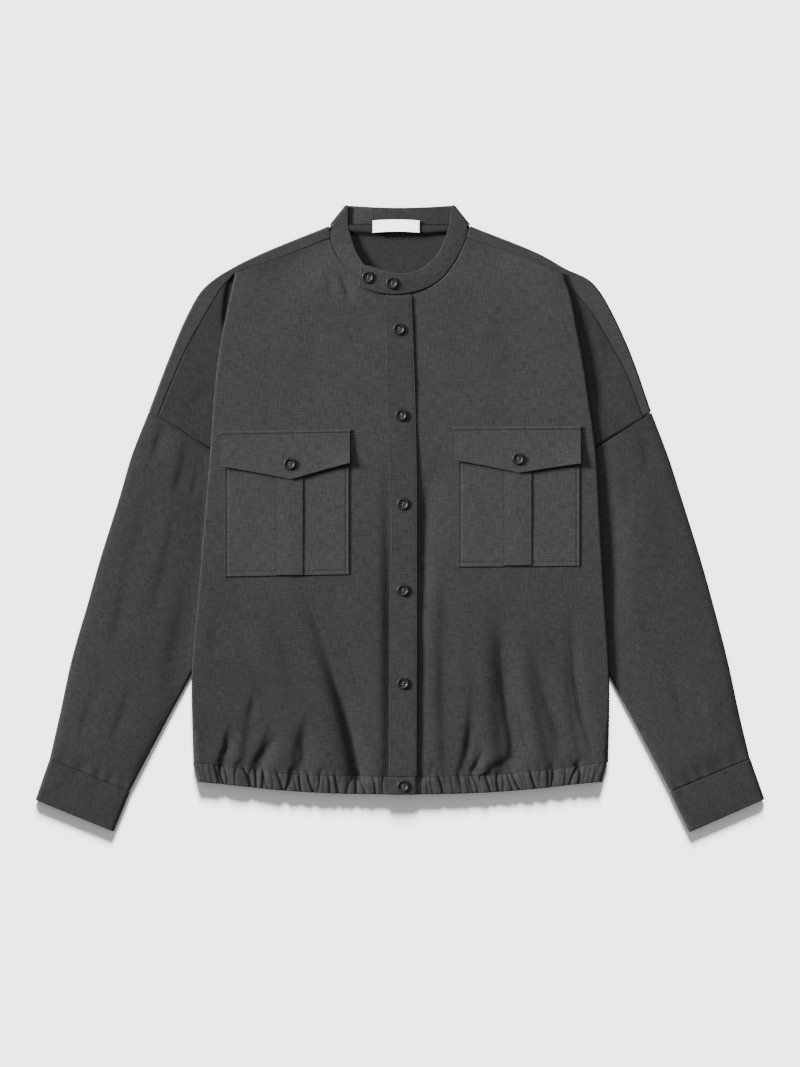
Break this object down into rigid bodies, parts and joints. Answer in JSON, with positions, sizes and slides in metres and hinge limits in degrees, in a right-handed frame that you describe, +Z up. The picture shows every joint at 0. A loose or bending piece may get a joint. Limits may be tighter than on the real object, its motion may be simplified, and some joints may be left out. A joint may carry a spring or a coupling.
{
  "type": "jacket",
  "caption": "Button-front jacket of light woven cloth, laid flat: band collar with a buttoned tab, dropped sleeves, flap pockets and a gathered hem band.",
  "frame": {"origin": "middle of the jacket's outline, on the surface that it lies on", "axes": "+Z up out of the surface, away from the jacket's back; +X towards the wearer's left sleeve; +Y towards the collar"},
  "size_m": [0.8756, 0.753, 0.0223],
  "materials": {
    "cloth": "matt dark grey plain weave with uneven yarns",
    "label": "white woven tape, blank",
    "button": "dark glossy resin with a dished middle and four holes"
  },
  "bodies": {
    "root": {"back": "cloth", "front_right": "cloth", "front_left": "cloth", "sleeve_right": "cloth", "sleeve_left": "cloth", "cuff_right": "cloth", "cuff_left": "cloth", "hem_band": "cloth", "placket": "cloth", "collar": "cloth", "neck_label": "label", "pocket_right": "cloth", "pocket_pleat_right": "cloth", "pocket_flap_right": "cloth", "pocket_welt_right": "cloth", "pocket_left": "cloth", "pocket_pleat_left": "cloth", "pocket_flap_left": "cloth", "pocket_welt_left": "cloth", "button_pocket_right": "button", "button_pocket_left": "button", "button_placket_1": "button", "button_placket_2": "button", "button_placket_3": "button", "button_placket_4": "button", "button_placket_5": "button", "button_hem": "button", "button_collar_1": "button", "button_collar_2": "button"}
  },
  "joints": []
}
